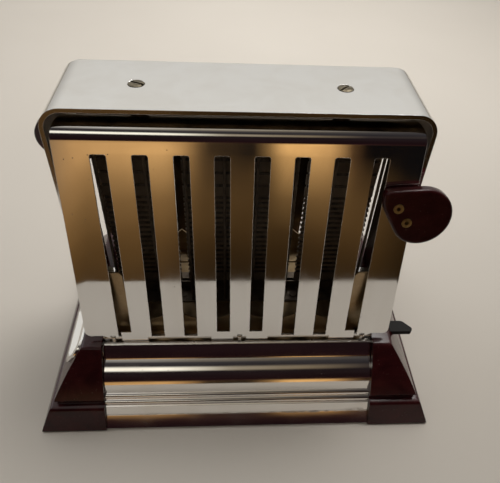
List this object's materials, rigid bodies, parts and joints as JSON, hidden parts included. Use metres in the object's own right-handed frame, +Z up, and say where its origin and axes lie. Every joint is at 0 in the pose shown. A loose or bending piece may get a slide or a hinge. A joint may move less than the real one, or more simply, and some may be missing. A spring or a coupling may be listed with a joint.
{
  "type": "drop-door toaster",
  "caption": "Vintage drop-door electric toaster with slotted plated doors, paddle knobs, an upright wound mica element and a stepped moulded base.",
  "frame": {"origin": "middle of the base's footprint, on the table surface", "axes": "+X along the length towards the switch end, +Y towards the rear door, +Z up"},
  "size_m": [0.22, 0.144, 0.1718],
  "materials": {
    "bakelite": "dark maroon moulded phenolic, polished",
    "plated": "bright plated sheet with light wear",
    "plated_trim": "bright plated liner",
    "deck_steel": "heat-tinted steel sheet",
    "dark_steel": "heat-darkened steel",
    "screw_steel": "aged nickel-plated screws and nuts",
    "rod_steel": "bright steel rod",
    "brass": "dull brass",
    "porcelain": "glazed electrical porcelain",
    "black_plastic": "matt black moulding",
    "mica": "pressed mica sheet, brown",
    "ribbon": "oxidised resistance ribbon",
    "fibre": "pressed fibre washer sheet"
  },
  "bodies": {
    "toaster_body": {"end_cap_left": "bakelite", "end_cap_right": "bakelite", "skirt_front": "plated", "skirt_rear": "plated", "base_pan": "dark_steel", "base_screws": "screw_steel", "deck": "deck_steel", "inlet_ferrule": "plated_trim", "inlet_block": "porcelain", "inlet_pins": "brass", "inlet_nuts": "brass", "bus_bar_return": "brass", "bus_bar_feed": "brass", "bus_bar_switched": "brass", "switch_block": "black_plastic", "switch_leaves": "brass", "terminal_bushings": "porcelain", "terminal_studs": "brass", "terminal_nuts": "brass", "element_links": "ribbon", "shell": "plated", "shell_foot_screws": "screw_steel", "shell_foot_nuts": "screw_steel", "top_screws": "screw_steel", "top_spacers": "dark_steel", "top_nuts": "screw_steel", "top_rail": "dark_steel", "bottom_rail": "dark_steel", "rail_rivets": "dark_steel", "mica_card_left": "mica", "mica_card_centre": "mica", "mica_card_right": "mica", "winding_left": "ribbon", "winding_centre": "ribbon", "winding_right": "ribbon", "guard_wires_front": "dark_steel", "guard_wires_rear": "dark_steel", "bread_rest_front": "deck_steel", "bread_rest_rear": "deck_steel", "hinge_lugs_front": "rod_steel", "hinge_lugs_rear": "rod_steel", "hinge_rod_front": "rod_steel", "hinge_rod_rear": "rod_steel"},
    "front_door": {"door_front": "plated", "knob_front": "bakelite", "knob_rivets_front": "brass", "knob_backplate_front": "fibre"},
    "rear_door": {"door_rear": "plated", "knob_rear": "bakelite", "knob_rivets_rear": "brass", "knob_backplate_rear": "fibre"},
    "switch": {"switch_bar": "black_plastic", "switch_bridge": "brass"}
  },
  "joints": [
    {"name": "front_door_hinge", "type": "hinge", "parent": "toaster_body", "child": "front_door", "pos_m": [0, -0.0402, 0.0452], "axis": [1, 0, 0], "range_deg": [0, 55]},
    {"name": "rear_door_hinge", "type": "hinge", "parent": "toaster_body", "child": "rear_door", "pos_m": [0, 0.0402, 0.0452], "axis": [-1, 0, 0], "range_deg": [0, 55]},
    {"name": "switch_slide", "type": "slide", "parent": "toaster_body", "child": "switch", "axis": [-1, 0, 0], "range_m": [0, 0.008]}
  ]
}
